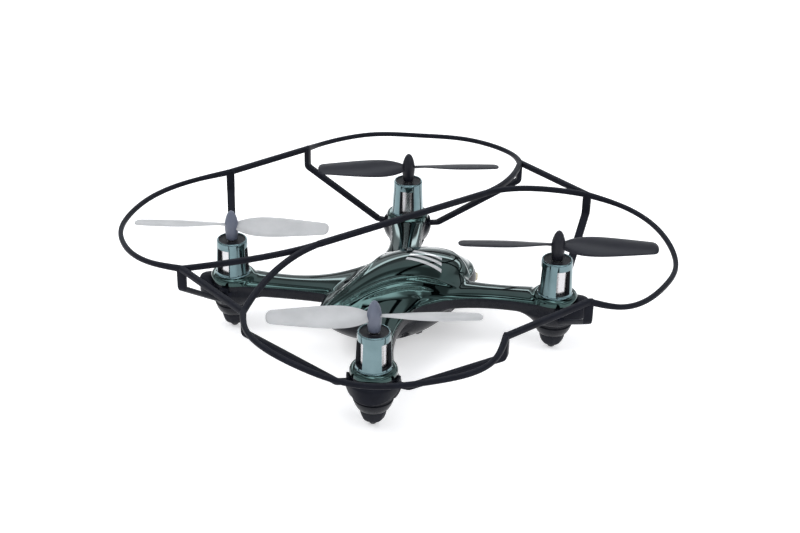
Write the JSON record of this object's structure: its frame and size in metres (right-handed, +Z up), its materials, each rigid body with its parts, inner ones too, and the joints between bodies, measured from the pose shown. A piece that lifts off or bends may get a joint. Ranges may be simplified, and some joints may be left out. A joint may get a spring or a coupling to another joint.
{
  "type": "palm drone",
  "caption": "Palm-size quadrotor with an egg-shaped plated body, slender arms, motor towers, two-blade propellers and a lobed wire guard.",
  "frame": {"origin": "on the ground plane midway between the four feet, under the centre of the guard", "axes": "+Z is up along the motor axes, the nose points along -Y and the drone's own left is +X"},
  "size_m": [0.1332, 0.1332, 0.0382],
  "materials": {
    "plated_shell": "dark green mirror plating on ABS",
    "black_shell": "moulded black, semi gloss",
    "guard_black": "flexible moulded black, satin",
    "pale_propeller": "translucent milky white",
    "dark_propeller": "smoky black",
    "motor_steel": "drawn steel can",
    "end_cap_plastic": "natural nylon",
    "magnet_nickel": "nickel plated",
    "winding_copper": "enamelled copper wire",
    "shaft_steel": "ground steel",
    "foot_rubber": "soft black rubber",
    "lead_insulation": "coloured PVC insulation",
    "board_green": "green solder mask",
    "chip_black": "moulded epoxy",
    "battery_pouch": "laminated aluminium pouch",
    "foam": "closed-cell foam",
    "ivory_nylon": "ivory nylon",
    "contact_brass": "bright",
    "switch_metal": "tinned shell",
    "switch_black": "fine matte",
    "screw_steel": "black zinc"
  },
  "bodies": {
    "airframe": {"battery": "battery_pouch", "battery_foam_pad": "foam", "battery_leads": "lead_insulation", "board_chips": "chip_black", "board_screws": "screw_steel", "charge_leads": "lead_insulation", "charge_pins": "contact_brass", "charge_socket": "ivory_nylon", "circuit_board": "board_green", "front_left_foot": "foot_rubber", "front_left_motor_can": "motor_steel", "front_left_motor_end_cap": "end_cap_plastic", "front_left_motor_leads": "lead_insulation", "front_left_motor_magnet": "magnet_nickel", "front_right_foot": "foot_rubber", "front_right_motor_can": "motor_steel", "front_right_motor_end_cap": "end_cap_plastic", "front_right_motor_leads": "lead_insulation", "front_right_motor_magnet": "magnet_nickel", "guard": "guard_black", "lower_shell": "black_shell", "rear_left_foot": "foot_rubber", "rear_left_motor_can": "motor_steel", "rear_left_motor_end_cap": "end_cap_plastic", "rear_left_motor_leads": "lead_insulation", "rear_left_motor_magnet": "magnet_nickel", "rear_right_foot": "foot_rubber", "rear_right_motor_can": "motor_steel", "rear_right_motor_end_cap": "end_cap_plastic", "rear_right_motor_leads": "lead_insulation", "rear_right_motor_magnet": "magnet_nickel", "shell_screws": "screw_steel", "switch_body": "switch_metal", "upper_shell": "plated_shell"},
    "front_left_rotor": {"front_left_propeller": "pale_propeller", "front_left_motor_shaft": "shaft_steel", "front_left_motor_winding": "winding_copper"},
    "front_right_rotor": {"front_right_propeller": "pale_propeller", "front_right_motor_shaft": "shaft_steel", "front_right_motor_winding": "winding_copper"},
    "rear_left_rotor": {"rear_left_propeller": "dark_propeller", "rear_left_motor_shaft": "shaft_steel", "rear_left_motor_winding": "winding_copper"},
    "rear_right_rotor": {"rear_right_propeller": "dark_propeller", "rear_right_motor_shaft": "shaft_steel", "rear_right_motor_winding": "winding_copper"},
    "switch_slider": {"switch_knob": "switch_black"}
  },
  "joints": [
    {"name": "front_left_rotor_spin", "type": "hinge", "parent": "airframe", "child": "front_left_rotor", "pos_m": [0.0323, -0.0323, 0.0319], "axis": [0, 0, 1], "continuous": true},
    {"name": "front_right_rotor_spin", "type": "hinge", "parent": "airframe", "child": "front_right_rotor", "pos_m": [-0.0323, -0.0323, 0.0319], "axis": [0, 0, 1], "continuous": true},
    {"name": "rear_left_rotor_spin", "type": "hinge", "parent": "airframe", "child": "rear_left_rotor", "pos_m": [0.0323, 0.0323, 0.0319], "axis": [0, 0, 1], "continuous": true},
    {"name": "rear_right_rotor_spin", "type": "hinge", "parent": "airframe", "child": "rear_right_rotor", "pos_m": [-0.0323, 0.0323, 0.0319], "axis": [0, 0, 1], "continuous": true},
    {"name": "power_switch_slide", "type": "slide", "parent": "airframe", "child": "switch_slider", "axis": [0, 1, 0], "range_m": [0, 0.0016]}
  ]
}
